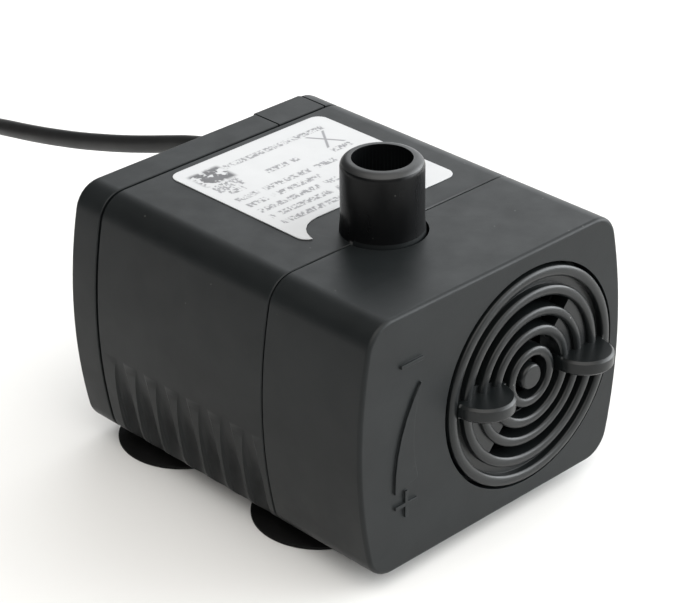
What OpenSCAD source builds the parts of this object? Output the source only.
// Submersible fountain pump: a motor housing with an upright outlet spigot, a front cover with a turning
// flow regulator, a rear cover, four suction cups, and a thin lead that ends in a DC plug.
// Axes: X to the right seen from the front, Y from the front face to the rear, Z up.
// Origin: on the surface that the suction cups stand on, below the middle of the pump. Units: millimetres.
// A "depth" is a distance behind the front face, along Y.

/* [Casing] */
// Width across the bulged sides
body_w = 42.7; // [42:0.1:44]
// Height of the casing without the suction cups
body_h = 32.2; // [32:0.1:33]
// Length from the front face to the face of the cord outlet
body_l = 49.4; // [49.2:0.1:51]
// Radius of the bulged sides
side_r = 62; // [55:1:80]
// Radius of the four long corners
corner_r = 3.6; // [3.5:0.1:4]
// Rounding of the front and rear edges
edge_r = 0.5; // [0.3:0.1:0.6]
// Thickness of the casing walls
wall = 1.8; // [1.6:0.1:1.8]
// Length of the front cover
front_len = 15.4; // [15.2:0.1:15.6]
// Depth of the joint between the motor housing and the rear cover
rear_joint = 44.1; // [44:0.1:44.4]
// Width of the open seam behind the front cover
seam = 0.2; // [0.2:0.05:0.3]
// Width of the open seam before the rear cover
rear_seam = 0.4; // [0.3:0.05:0.5]
// Height of the suction cups below the casing
cup_h = 2.1; // [2:0.1:2.6]
// Outer radius of a suction cup's lip
cup_r = 8.3; // [7.5:0.1:8.4]

/* [Regulator and rotor] */
// Distance of the rotor axis to the right of the middle
axis_x = 5.8; // [5.7:0.1:5.9]
// Outer radius of the regulator disc
disc_r = 13.5; // [13.4:0.05:13.6]
// Angle of the regulator's tabs at rest, seen from the front
disc_tilt = -3; // [-6:1:6]
// Reach of the tabs in front of the casing
tab_reach = 4.2; // [4:0.1:5]
// Radius of the impeller
impeller_r = 9.6; // [9:0.1:9.8]
// Radius of the rotor shaft
shaft_r = 1.25; // [1.2:0.05:1.3]

/* [Outlet] */
// Distance of the outlet axis to the right of the middle
outlet_x = -2.2; // [-2.4:0.1:-2]
// Depth of the outlet axis
outlet_depth = 15.65; // [15.6:0.05:15.7]
// Radius of the outlet spigot
outlet_r = 4.8; // [4.7:0.05:4.85]
// Radius of the outlet bore
outlet_bore_r = 3.5; // [3.3:0.05:3.6]
// Height of the spigot above the casing
outlet_h = 8.9; // [8:0.1:12]

/* [Lead] */
// Radius of the lead
cord_r = 1.2; // [1.1:0.05:1.25]

/* [Hidden] */
$fn = 96;

// Places that follow from the sizes above
front_y = (tab_reach - body_l) / 2;
mid_z = cup_h + body_h / 2;
axis_z = mid_z;
top_z = cup_h + body_h;
side_steps = 8;
corner_steps = 7;
side_cx = body_w / 2 - side_r;
corner_cz = body_h / 2 - corner_r;
corner_cx = side_cx + sqrt(pow(side_r - corner_r, 2) - pow(corner_cz, 2));
corner_a = atan2(corner_cz, corner_cx - side_cx);
seam_break = 0.1;
overcut = 1;

// Depths of the casing parts
housing_front = front_len + seam;
housing_wall_rear = housing_front + wall;
rear_start = rear_joint + rear_seam;
rear_step = 0.35;
rear_face = body_l - rear_step;

// Front cover: the round dish that holds the regulator
dish_r = disc_r + 0.4;
dish_wall = 1.3;
dish_floor = 2.4;
dish_rear = 3.9;
front_wall = 2;
window_r = [4.2, 10.6];
window_start = 50;
window_span = 120;
pivot_r = 2;
pivot_gap = 0.06;
notch_r = outlet_r + 0.45;

// Raised scale beside the regulator
scale_h = 0.3;
scale_angle = 24;
scale_mark_r = 21.65;
scale_mark = [3.4, 0.45];
wedge_r = 19.1;
wedge_grow = 3.5;
wedge_half = 18;

// Regulator disc: rings seen from the front, each as inner and outer radius, and the slots between them
disc_front = -0.4;
disc_floor = 1.5;
disc_rear = 2.2;
hub_r = 1.6;
hub_break = 0.3;
ribs = [[2.6, 3.8], [5.05, 6.35], [7.4, 8.6], [9.85, 11.15], [12.15, disc_r]];
slots = [[3.85, 5], [6.4, 7.35], [8.65, 9.8]];
slot_start = 52;
slot_span = 116;
rib_crown = 0.35;
shallow_floor = 0.6;
web_front = 0.2;
web_r = [5.8, 10.4];
tab_r = 3.8;
tab_centre = 8.4;
tab_t = 1.8;
tab_break = 0.3;
snap_r = 2.6;
snap_front = 4.2;
snap_rear = 4.9;
snap_slot = 0.7;

// Pump chamber and rotor well
chamber_r = 11;
chamber_outer_r = 13.2;
chamber_front = 9;
chamber_rear = 19.3;
chamber_back = 20.8;
lid_r = 12.1;
lid_seat_r = 12.2;
lid_front = 9.3;
lid_rear = 10.9;
seal_rear = 11.5;
eye_r = 5.4;
lid_hub_r = 3.4;
lid_hub_rear = 12.2;
spoke_w = 1.5;
bush_r = 2.2;
well_r = 6.9;
well_outer_r = 7.9;
well_floor = 40;
well_rear = 41.6;
rear_boss_r = 3.6;
rear_boss_front = 37.5;
shaft_front = 9.8;
shaft_rear = 39.9;
impeller_front = 12.9;
blade_rear = 17.6;
impeller_rear = 19.4;
blade_count = 6;
blade_t = 1.1;
sleeve_r = 2.6;
sleeve_gap = 0.05;
magnet_r = 6.2;
magnet_front = 20.9;
magnet_rear = 36.2;

// Stator around the rotor well
core_front = 22.5;
core_rear = 35.5;
pole_r = 8.1;
pole_half_w = 10.5;
pole_gap = 5;
core_half_h = 13.2;
leg_t = 5.5;
yoke_x = [-15.4, -10.9];
bobbin_t = 0.8;
winding_t = 2.3;
board_front = 39.4;
board_rear = 40.4;
board_x = [-18.4, -3.4];
board_half_h = 11.5;
potting_rear = 42.4;

// Spigot where the front cover sits on the motor housing, and the lip of the rear cover
spigot_front = 13;
spigot_gap = 0.35;
spigot_t = 1.2;
lip_front = 42.6;

// Grip grooves low on both sides
groove_count = 7;
groove_pitch = 3.75;
groove_first = 18.1;
groove_r = 2;
groove_lean = 12.5;
groove_foot_x = 18.4;
groove_len = 20;

// Outlet: its throat from the chamber, the start of its bore, its foot and its rounded rim
throat_half = 2.4;
bore_start = 27;
foot_flare = 0.3;
foot_h = 1.5;
rim_r = 1;

// Suction cups
cup_x = 11.2;
cup_depths = [16.95, 41.1];
cup_neck_r = 1.15;
cup_collar_r = 1.4;
cup_peg_h = 3.1;

// Rating label
label_x = [-10.6, 13.9];
label_depth = [19.3, 43];
label_t = 0.12;
label_r = 1.5;
label_notch = [7.4, 22.9];
label_notch_r = 4.2;

// Cord outlet, strain relief and lead
outlet_block_x = [8.5, 16.5];
outlet_block_z = 20.4;
block_gap = 0.25;
cord_x = 12.5;
cord_z = 24.6;
exit_y = front_y + body_l;
relief_len = 8;
relief_r = [2.7, 1.6];
relief_flange = 0.9;
cord_bore_r = cord_r + 0.05;
wire_r = 0.5;

// The lead's route, from inside its outlet to its coil, where it has come down to the surface
cord_route = [[12.5, front_y + rear_start, 24.6], [12.5, exit_y, 24.6], [12.5, 32, 24.6], [12.5, 36, 24.5],
    [12.5, 40, 24], [12.5, 44, 23], [12.5, 48, 21.7], [12.4, 52, 20.4], [12.4, 57, 18.8], [12.5, 62, 17.3],
    [12.6, 67, 15.9], [12.8, 72, 14.6], [13.2, 77, 13.3], [13.8, 82, 12], [14.7, 87, 10.6], [15.9, 92, 9],
    [17.3, 97, 7.3], [18.8, 102, 5.7], [20.3, 107, 4.2], [21.7, 112, 3], [23, 117, 2.2], [24.3, 122, 1.8],
    [25.3, 125.6, 1.6]];
// The tail, from the coil's top to the plug
tail_route = [[8.4, 147.6, 8.8], [5, 147.6, 8.8], [2, 147.6, 8.7], [-0.5, 147.6, 8], [-2.5, 147.6, 6.9],
    [-4.5, 147.6, 5.6], [-6, 147.6, 5]];
coil_centre = [8.4, 130.1];
coil_r = 14.6;
coil_band = 4.1;
coil_z = 0.4;
coil_layers = 4;
tie_t = 0.4;
tie_w = 5;
tie_angle = 250;
plug_entry = [-6, 147.6, 5];
plug_r = 4.7;
plug_len = 22;
plug_neck_r = 2.4;
plug_collar_r = 3.6;
barrel_len = 9.5;
barrel_r = 2.75;
barrel_bore_r = 2.3;
barrel_gap = 0.3;
barrel_floor = 1;
root_len = 4;
root_r = 2.2;
root_bore_r = 1.7;
contact_r = 1.4;
contact_bore_r = 1.05;

casing_colour = "#2b2d2f";
rubber_colour = "#141415";

// ---- Helpers ----

// Points of an arc in a plane
function arc(c, r, a0, a1, n) = [for (i = [0:n]) let (a = a0 + (a1 - a0) * i / n) c + r * [cos(a), sin(a)]];

// A quarter of the casing's outline, inset by t, from the middle of the right side to the flat top
function quarter(t) = concat(
    arc([side_cx, 0], side_r - t, 0, corner_a, side_steps),
    [for (i = [1:corner_steps]) arc([corner_cx, corner_cz], corner_r - t, corner_a, 90, corner_steps)[i]]);

// The casing's outline seen from the front, inset by t: bulged sides, flat top and bottom, round corners
function outline(t) = let (q = quarter(t), n = len(q)) [for (p = concat(
    q,
    [for (i = [n - 1:-1:0]) [-q[i][0], q[i][1]]],
    [for (i = [1:n - 1]) [-q[i][0], -q[i][1]]],
    [for (i = [n - 1:-1:1]) [q[i][0], -q[i][1]]])) p + [0, mid_z]];

// A rounded rectangle from corner a to corner b
function rounded(a, b, r, n = 6) = concat(
    arc([b[0] - r, b[1] - r], r, 0, 90, n), arc([a[0] + r, b[1] - r], r, 90, 180, n),
    arc([a[0] + r, a[1] + r], r, 180, 270, n), arc([b[0] - r, a[1] + r], r, 270, 360, n));

function unit(v) = v / norm(v);

// A solid with the casing's outline, through rings that are each a depth and an inset
module casing(rings) {
    n = len(outline(0));
    last = len(rings) - 1;
    points = [for (ring = rings) for (p = outline(ring[1])) [p[0], front_y + ring[0], p[1]]];
    front = [for (i = [n - 1:-1:0]) i];
    rear = [for (i = [0:n - 1]) last * n + i];
    sides = [for (k = [0:last - 1]) for (i = [0:n - 1]) let (j = (i + 1) % n)
        [k * n + i, k * n + j, (k + 1) * n + j, (k + 1) * n + i]];
    polyhedron(points, concat([front], sides, [rear]));
}

// A flat shape drawn as seen from the front, from depth a to depth b
module slab(a, b) {
    translate([0, front_y + b, 0]) rotate([90, 0, 0]) linear_extrude(b - a) children();
}

// A cylinder on the rotor axis, from depth a to depth b
module drum(a, b, r) {
    translate([axis_x, front_y + b, axis_z]) rotate([90, 0, 0]) cylinder(h = b - a, r = r);
}

// The rotor axis as the third axis, pointing forward, with the front face at zero
module on_axis() {
    translate([axis_x, front_y, axis_z]) rotate([90, 0, 0]) children();
}

// A sector of a flat ring on the rotor axis, from depth a to depth b, from angle start over span
module ring_sector(a, b, radii, start, span) {
    on_axis() rotate([0, 0, start]) rotate_extrude(angle = span)
        translate([radii[0], -b]) square([radii[1] - radii[0], b - a]);
}

// A vertical cylinder at a place along X and a depth
module post(x, depth, z0, z1, r0, r1) {
    translate([x, front_y + depth, z0]) cylinder(h = z1 - z0, r1 = r0, r2 = r1);
}

// A round bar swept along a route, with the given number of sides
module swept(route, r, sides = 8) {
    n = len(route);
    heading = [for (i = [0:n - 1]) unit(route[min(i + 1, n - 1)] - route[max(i - 1, 0)])];
    points = [for (i = [0:n - 1]) let (
        side = unit(cross(heading[i], [0, 0, 1])), up = cross(side, heading[i]))
        for (k = [0:sides - 1]) route[i] + r * (cos(360 * k / sides) * side + sin(360 * k / sides) * up)];
    faces = [for (i = [0:n - 2]) for (k = [0:sides - 1]) let (j = (k + 1) % sides)
        [i * sides + k, (i + 1) * sides + k, (i + 1) * sides + j, i * sides + j]];
    start = [for (k = [0:sides - 1]) k];
    end = [for (k = [sides - 1:-1:0]) (n - 1) * sides + k];
    polyhedron(points, concat([start], faces, [end]));
}

// ---- Casing ----

module motor_housing() color(casing_colour) {
    difference() {
        union() {
            casing([[housing_front, seam_break], [housing_front + seam_break, 0],
                [rear_joint - seam_break, 0], [rear_joint, seam_break]]);
            spigot();
            drum(chamber_front, housing_front + overcut, chamber_outer_r);
            outlet_tube();
            post(outlet_x, outlet_depth, top_z - wall, top_z + foot_h, outlet_r + foot_flare, outlet_r);
        }
        housing_hollow();
        drum(chamber_front - overcut, seal_rear, lid_seat_r);
        drum(seal_rear - overcut, chamber_rear, chamber_r);
        drum(chamber_rear - overcut, well_floor, well_r);
        post(outlet_x, outlet_depth, bore_start, top_z + outlet_h + overcut, outlet_bore_r, outlet_bore_r);
        translate([outlet_x - throat_half, front_y + outlet_depth - throat_half, mid_z])
            cube([2 * throat_half, 2 * throat_half, bore_start - mid_z + overcut / 2]);
        for (side = [-1, 1]) grip_grooves(side);
        cup_holes();
    }
    difference() {
        drum(rear_boss_front, well_floor, rear_boss_r);
        drum(rear_boss_front - overcut, well_floor + overcut, bush_r);
    }
}

// The upright spigot, solid, with a rounded outer rim
module outlet_tube() {
    h = top_z + outlet_h - mid_z;
    translate([outlet_x, front_y + outlet_depth, mid_z]) rotate_extrude() polygon(concat(
        [[0, 0], [outlet_r, 0]], arc([outlet_r - rim_r, h - rim_r], rim_r, 0, 90, 6), [[0, h]]));
}

// The space behind the front wall of the motor housing, less the chamber's back and the rotor well
module housing_hollow() {
    difference() {
        slab(housing_wall_rear, rear_joint + overcut) polygon(outline(wall));
        drum(housing_wall_rear - overcut, chamber_back, chamber_outer_r);
        drum(housing_wall_rear - overcut, well_rear, well_outer_r);
        translate([outlet_x, front_y + outlet_depth, mid_z]) cylinder(h = body_h, r = outlet_r);
    }
}

// The rim that the front cover slides over
module spigot() {
    slab(spigot_front, housing_front + overcut) difference() {
        polygon(outline(wall + spigot_gap));
        polygon(outline(wall + spigot_gap + spigot_t));
    }
}

module grip_grooves(side) {
    for (i = [0:groove_count - 1])
        translate([side * (groove_foot_x + groove_r), front_y + groove_first + i * groove_pitch, cup_h])
            rotate([0, side * groove_lean, 0]) cylinder(h = groove_len, r = groove_r);
}

module cup_holes() {
    for (side = [-1, 1]) for (depth = cup_depths)
        post(side * cup_x, depth, cup_h - overcut, cup_h + cup_peg_h + 0.1, cup_neck_r, cup_neck_r);
}

module front_cover() color(casing_colour) {
    difference() {
        casing(concat(
            [for (a = [0:22.5:90]) edge_r * [1 - cos(a), 1 - sin(a)]],
            [[front_len - seam_break, 0], [front_len, seam_break]]));
        difference() {
            slab(front_wall, front_len + overcut) polygon(outline(wall));
            drum(0, dish_rear, dish_r + dish_wall);
        }
        drum(-overcut, dish_floor, dish_r);
        drum(dish_floor - overcut, dish_rear + overcut, pivot_r + pivot_gap);
        for (turn = [0, 180])
            ring_sector(dish_floor - overcut, dish_rear + overcut, window_r, window_start + turn,
                window_span);
        translate([outlet_x, front_y + outlet_depth, mid_z]) cylinder(h = body_h, r = notch_r);
    }
    scale_marks();
}

// Minus, plus and a growing wedge, raised on the front face
module scale_marks() {
    middle = 180 + disc_tilt;
    slab(-scale_h, 0.1) translate([axis_x, axis_z]) {
        polygon(concat(
            [for (a = [-wedge_half:6:wedge_half]) wedge_r * [cos(middle + a), sin(middle + a)]],
            [for (a = [wedge_half:-6:-wedge_half]) (wedge_r + wedge_grow * (a / wedge_half + 1) / 2 + 0.15)
                * [cos(middle + a), sin(middle + a)]]));
        for (sign = [-1, 1]) rotate(middle + sign * scale_angle) translate([scale_mark_r, 0])
            rotate(-middle - sign * scale_angle) {
                square(scale_mark, center = true);
                if (sign == 1) square([scale_mark[1], scale_mark[0]], center = true);
            }
    }
}

module rear_cover() color(casing_colour) difference() {
    union() {
        casing(concat(
            [[rear_start, seam_break], [rear_start + seam_break, 0]],
            [for (a = [0:22.5:90]) [rear_face - edge_r * (1 - sin(a)), edge_r * (1 - cos(a))]]));
        slab(lip_front, rear_start + overcut) polygon(outline(wall));
    }
    slab(lip_front - overcut, rear_face - wall) polygon(outline(2 * wall));
    outlet_recess();
}

// The notch in the rear cover that holds the cord outlet
module outlet_recess() {
    translate([outlet_block_x[0], front_y + lip_front - overcut, outlet_block_z])
        cube([outlet_block_x[1] - outlet_block_x[0], body_l, body_h]);
}

module cord_outlet() color(casing_colour) difference() {
    intersection() {
        casing([[rear_start, seam_break], [rear_start + seam_break, 0],
            [body_l - edge_r, 0], [body_l - edge_r / 3, edge_r / 4], [body_l, edge_r]]);
        translate([outlet_block_x[0] + block_gap, front_y + rear_start, outlet_block_z])
            cube([outlet_block_x[1] - outlet_block_x[0] - 2 * block_gap, body_l, body_h]);
    }
    translate([cord_x, front_y, cord_z]) rotate([-90, 0, 0])
        cylinder(h = body_l + overcut, r = cord_bore_r);
}

// A suction cup, by its section: the hollow below, the lip, the dome, the collar and the peg
module suction_cup(x, depth) color(rubber_colour) translate([x, front_y + depth, 0]) rotate_extrude()
    polygon([
        [0, 0.95], [cup_r * 0.45, 0.8], [cup_r * 0.75, 0.35],
        [cup_r - 0.7, 0], [cup_r - 0.15, 0], [cup_r, 0.1], [cup_r, 0.4],
        [cup_r * 0.8, 1.05], [cup_r * 0.5, 1.55], [cup_collar_r + 0.9, cup_h - 0.35],
        [cup_collar_r, cup_h - 0.25], [cup_collar_r, cup_h], [cup_neck_r, cup_h],
        [cup_neck_r, cup_h + cup_peg_h - 0.5], [cup_neck_r * 0.6, cup_h + cup_peg_h],
        [0, cup_h + cup_peg_h]]);

module rating_label() color("white") translate([0, front_y, top_z]) linear_extrude(label_t) difference() {
    polygon(rounded([label_x[0], label_depth[0]], [label_x[1], label_depth[1]], label_r));
    polygon(rounded([outlet_x - label_notch[0], outlet_depth - 5],
        [outlet_x + label_notch[0], label_notch[1]], label_notch_r));
}

// ---- Flow regulator ----

module flow_regulator() color(casing_colour) difference() {
    union() {
        on_axis() rotate_extrude() {
            translate([0, -disc_rear]) square([disc_r, disc_rear - disc_floor]);
            polygon([[0, -disc_floor - 0.1], [0, -disc_front], [hub_r - hub_break, -disc_front],
                [hub_r, -disc_front - hub_break], [hub_r, -disc_floor - 0.1]]);
            for (rib = ribs) ring_rib(rib[0], rib[1]);
            translate([ribs[3][1] - 0.2, -disc_floor - 0.1])
                square([ribs[4][0] - ribs[3][1] + 0.4, disc_floor + 0.1 - shallow_floor]);
            translate([0, -snap_rear]) square([pivot_r, snap_rear - disc_rear + 0.1]);
            polygon([[0, -snap_rear], [pivot_r, -snap_rear], [snap_r, -snap_front - 0.3],
                [snap_r, -snap_front], [0, -snap_front]]);
        }
        for (turn = [0, 180]) {
            on_axis() rotate([0, 0, disc_tilt + turn]) tab();
            ring_sector(web_front, disc_floor + 0.1, web_r, disc_tilt + turn + slot_start + slot_span - 0.5,
                181 - slot_span);
        }
    }
    for (turn = [0, 180]) for (slot = slots)
        ring_sector(disc_front - 0.1, disc_rear + 0.1, slot, disc_tilt + turn + slot_start, slot_span);
    on_axis() rotate([0, 0, disc_tilt]) translate([0, 0, -snap_rear - 0.1])
        linear_extrude(snap_rear - disc_rear) square([2 * snap_r + 1, snap_slot], center = true);
}

// Section of one ring of the disc, with a crowned front edge
module ring_rib(r0, r1) {
    half = (r1 - r0) / 2;
    crown = [for (a = [150:-30:30]) [r0 + half + half * cos(a), -disc_front - rib_crown * (1 - sin(a))]];
    polygon(concat([[r0, -disc_floor - 0.1], [r0, -disc_front - rib_crown]], crown,
        [[r1, -disc_front - rib_crown], [r1, -disc_floor - 0.1]]));
}

// A half-round finger tab that stands on the disc
module tab() {
    translate([tab_centre, 0, tab_reach - tab_r]) rotate([90, 0, 0]) difference() {
        rotate_extrude() polygon([
            [0, -tab_t / 2], [tab_r - tab_break, -tab_t / 2], [tab_r, tab_break - tab_t / 2],
            [tab_r, tab_t / 2 - tab_break], [tab_r - tab_break, tab_t / 2], [0, tab_t / 2]]);
        translate([-tab_r - 1, -2 * tab_r, -tab_t]) cube([2 * tab_r + 2, 2 * tab_r - 0.2, 2 * tab_t]);
    }
    translate([tab_centre - tab_r, -tab_t / 2, -disc_floor - 0.1])
        cube([2 * tab_r, tab_t, tab_reach - tab_r + disc_floor + 0.1]);
}

// ---- Pump chamber and rotor ----

module chamber_cover() color("#3a3c3e") difference() {
    union() {
        difference() {
            drum(lid_front, lid_rear, lid_r);
            drum(lid_front - overcut, lid_rear + overcut, eye_r);
        }
        drum(lid_front, lid_hub_rear, lid_hub_r);
        for (turn = [0:120:240]) on_axis() rotate([0, 0, turn])
            translate([lid_hub_r - 0.5, -spoke_w / 2, -lid_rear])
                cube([eye_r - lid_hub_r + 1, spoke_w, lid_rear - lid_front]);
    }
    drum(lid_front - overcut, lid_hub_rear + overcut, bush_r);
}

module chamber_seal() color(rubber_colour) difference() {
    drum(lid_rear, seal_rear, lid_seat_r - 0.1);
    drum(lid_rear - overcut, seal_rear + overcut, chamber_r + 0.15);
}

module impeller() color("#e9e7df") difference() {
    union() {
        drum(impeller_front, magnet_rear, sleeve_r);
        drum(blade_rear - 0.1, impeller_rear, well_r - 1);
        drum(impeller_rear - 0.1, magnet_front, sleeve_r + 1.2);
        for (i = [0:blade_count - 1]) on_axis() rotate([0, 0, 360 * i / blade_count])
            translate([sleeve_r - 0.4, -blade_t / 2, -blade_rear])
                cube([impeller_r - sleeve_r + 0.4, blade_t, blade_rear - impeller_front]);
    }
    drum(impeller_front - overcut, magnet_rear + overcut, shaft_r + sleeve_gap);
}

module rotor_magnet() color("#1d1e22") difference() {
    drum(magnet_front, magnet_rear, magnet_r);
    drum(magnet_front - overcut, magnet_rear + overcut, sleeve_r);
}

module rotor_shaft() color("#f4f2ea") drum(shaft_front, shaft_rear, shaft_r);

module bush(a, b) color(rubber_colour) difference() {
    drum(a, b, bush_r);
    drum(a - overcut, b + overcut, shaft_r);
}

module thrust_washer() color("#d9c9a0") difference() {
    drum(magnet_rear + 0.4, rear_boss_front - 0.1, rear_boss_r - 0.8);
    drum(magnet_rear, rear_boss_front, shaft_r + sleeve_gap);
}

// ---- Stator and electronics ----

// Steel sheets stacked along the rotor axis: a yoke on the left and two poles round the rotor well
module stator_core() color("#8b8f93") difference() {
    slab(core_front, core_rear) difference() {
        translate([yoke_x[0], axis_z - core_half_h])
            square([axis_x + pole_half_w - yoke_x[0], 2 * core_half_h]);
        translate([yoke_x[1], axis_z - core_half_h + leg_t])
            square([axis_x - pole_half_w - yoke_x[1], 2 * (core_half_h - leg_t)]);
        translate([yoke_x[1], axis_z - pole_gap / 2]) square([body_w, pole_gap]);
    }
    drum(core_front - overcut, core_rear + overcut, pole_r);
}

// A box round the yoke: a frame that is in by one gap and out by another, from height z0 to z1
module round_yoke(in, out, half_h) {
    difference() {
        translate([yoke_x[0] - out, front_y + core_front - out, axis_z - half_h])
            cube([yoke_x[1] - yoke_x[0] + 2 * out, core_rear - core_front + 2 * out, 2 * half_h]);
        translate([yoke_x[0] - in, front_y + core_front - in, axis_z - half_h - overcut])
            cube([yoke_x[1] - yoke_x[0] + 2 * in, core_rear - core_front + 2 * in, 2 * (half_h + overcut)]);
    }
}

module coil_bobbin() color("#e8e4d4") {
    window_half = core_half_h - leg_t;
    round_yoke(0, bobbin_t, window_half);
    for (side = [-1, 1]) translate([0, 0, side * (window_half - bobbin_t / 2)])
        round_yoke(0, bobbin_t + winding_t, bobbin_t / 2);
}

module stator_winding() color("#b8672f")
    round_yoke(bobbin_t, bobbin_t + winding_t - 0.15, core_half_h - leg_t - bobbin_t);

module hall_sensor() color("#161618")
    translate([axis_x - well_outer_r - 1.7, front_y + core_front + 2, axis_z - 2])
        cube([1.6, 4, 4]);

module circuit_board() color("#1f6b3a")
    translate([board_x[0], front_y + board_front, axis_z - board_half_h])
        cube([board_x[1] - board_x[0], board_rear - board_front, 2 * board_half_h]);

module driver_chip() color("#101012") translate([-13.5, front_y + board_rear, axis_z + 1])
    cube([5, 1.6, 4]);

module filter_capacitor() color("#2c3f63") translate([-11, front_y + board_rear, axis_z - 5.5])
    rotate([-90, 0, 0]) cylinder(h = 5.2, r = 2.5);

module guard_diode() color("#303033") translate([-16.8, front_y + board_rear, axis_z + 6.5])
    cube([4.4, 1.3, 2.2]);

// Resin over the stator's rear, cast round the board's parts
module potting_compound() color("#3c3a36") difference() {
    slab(board_rear, potting_rear) polygon(outline(wall + 0.05));
    drum(board_rear - overcut, potting_rear + overcut, well_outer_r);
    translate([-13.5, front_y + board_rear - overcut, axis_z + 1]) cube([5, 1.6 + overcut, 4]);
    translate([-16.8, front_y + board_rear - overcut, axis_z + 6.5]) cube([4.4, 1.3 + overcut, 2.2]);
    translate([-11, front_y + board_rear - overcut, axis_z - 5.5]) rotate([-90, 0, 0])
        cylinder(h = 6, r = 2.5);
    for (cup = [-1, 1]) translate([cup * cup_x, front_y + cup_depths[1], cup_h])
        cylinder(h = cup_peg_h + 0.2, r = cup_neck_r + 0.2);
}

// Two insulated wires from the lead to the resin
module lead_wires() {
    for (wire = [0, 1]) color(wire == 0 ? "#a01818" : "#18181a") swept([
        [cord_x, front_y + rear_start, cord_z + 1.2 * wire - 0.6],
        [cord_x, front_y + rear_start - 0.3, cord_z + 1.2 * wire - 0.6],
        [cord_x - 1.5, front_y + rear_start - 0.8, cord_z + 1.8 * wire - 0.6],
        [cord_x - 5, front_y + rear_start - 1, cord_z + 2.4 * wire - 0.6],
        [cord_x - 7, front_y + rear_start - 1.4, cord_z + 2.4 * wire - 0.6],
        [cord_x - 7.4, front_y + potting_rear + 0.2, cord_z + 2.4 * wire - 0.6],
        [cord_x - 7.4, front_y + potting_rear, cord_z + 2.4 * wire - 0.6]], wire_r);
}

// ---- Lead ----

module strain_relief() color(rubber_colour) translate([cord_x, exit_y, cord_z]) rotate([-90, 0, 0])
    difference() {
        rotate_extrude() polygon([[0, 0], [relief_r[0] + 0.8, 0], [relief_r[0] + 0.8, relief_flange],
            [relief_r[0], relief_flange], [relief_r[1], relief_len], [0, relief_len]]);
        translate([0, 0, -overcut]) cylinder(h = relief_len + 2 * overcut, r = cord_bore_r);
    }

module power_cord() color(rubber_colour) swept(cord_route, cord_r);

module cord_tail() color(rubber_colour) swept(tail_route, cord_r);

module cord_coil() color(rubber_colour) translate([coil_centre[0], coil_centre[1], coil_z]) rotate_extrude()
    polygon(rounded([coil_r - coil_band, 0], [coil_r + coil_band, 2 * cord_r * coil_layers], cord_r));

// A flat strap round the coil
module cord_tie() color("#1a1a1a") translate([coil_centre[0], coil_centre[1], 0]) rotate([0, 0, tie_angle])
    translate([coil_r, tie_w / 2, coil_z]) rotate([90, 0, 0]) linear_extrude(tie_w) difference() {
        polygon(rounded([-coil_band - 2 * tie_t, -tie_t],
            [coil_band + 2 * tie_t, 2 * cord_r * coil_layers + tie_t], cord_r));
        polygon(rounded([-coil_band - tie_t, 0], [coil_band + tie_t, 2 * cord_r * coil_layers],
            cord_r - 0.4));
    }

// The plug's axis as the third axis, pointing out of the plug, with the cord's entry at zero
module on_plug() {
    translate(plug_entry) rotate([0, -90, 0]) children();
}

module plug_body() color(rubber_colour) on_plug() difference() {
    rotate_extrude() polygon([[0, 0], [plug_neck_r - 0.5, 0], [plug_neck_r, 7.5], [plug_collar_r, 8],
        [plug_r - 0.3, 9.5], [plug_r, 11], [plug_r, plug_len - 0.6], [plug_r - 0.6, plug_len],
        [0, plug_len]]);
    translate([0, 0, plug_len - root_len]) cylinder(h = root_len + overcut, r = root_r);
}

// The plug's sleeve, on a narrower root that sits in the plug's body
module plug_barrel() color("#c9ccd0") on_plug() difference() {
    union() {
        translate([0, 0, plug_len - root_len]) cylinder(h = root_len + barrel_floor / 2, r = root_r);
        translate([0, 0, plug_len + barrel_gap]) cylinder(h = barrel_len - barrel_gap, r = barrel_r);
    }
    translate([0, 0, plug_len - root_len - overcut]) cylinder(h = root_len + 3 * overcut, r = root_bore_r);
    translate([0, 0, plug_len + barrel_floor]) cylinder(h = barrel_len, r = barrel_bore_r);
}

module plug_insulator() color("#202022") on_plug() difference() {
    union() {
        translate([0, 0, plug_len - root_len]) cylinder(h = root_len + barrel_floor + 0.5, r = root_bore_r);
        translate([0, 0, plug_len + barrel_floor])
            cylinder(h = barrel_len - barrel_floor - 0.2, r = barrel_bore_r);
    }
    translate([0, 0, plug_len]) cylinder(h = barrel_len + overcut, r = contact_r + 0.05);
}

module plug_contact() color("#d8b45a") on_plug() difference() {
    translate([0, 0, plug_len]) cylinder(h = barrel_len - 1.2, r = contact_r);
    translate([0, 0, plug_len + barrel_floor]) cylinder(h = barrel_len, r = contact_bore_r);
}

motor_housing();
front_cover();
rear_cover();
flow_regulator();
chamber_cover();
chamber_seal();
impeller();
rotor_magnet();
rotor_shaft();
bush(lid_front + 0.2, lid_hub_rear);  // front_bush
bush(rear_boss_front, well_floor);  // rear_bush
thrust_washer();
stator_core();
coil_bobbin();
stator_winding();
hall_sensor();
circuit_board();
driver_chip();
filter_capacitor();
guard_diode();
potting_compound();
rating_label();
cord_outlet();
strain_relief();
lead_wires();
power_cord();
cord_coil();
cord_tie();
cord_tail();
plug_body();
plug_barrel();
plug_insulator();
plug_contact();
suction_cup(-cup_x, cup_depths[0]);  // suction_cup_front_left
suction_cup(cup_x, cup_depths[0]);  // suction_cup_front_right
suction_cup(-cup_x, cup_depths[1]);  // suction_cup_rear_left
suction_cup(cup_x, cup_depths[1]);  // suction_cup_rear_right
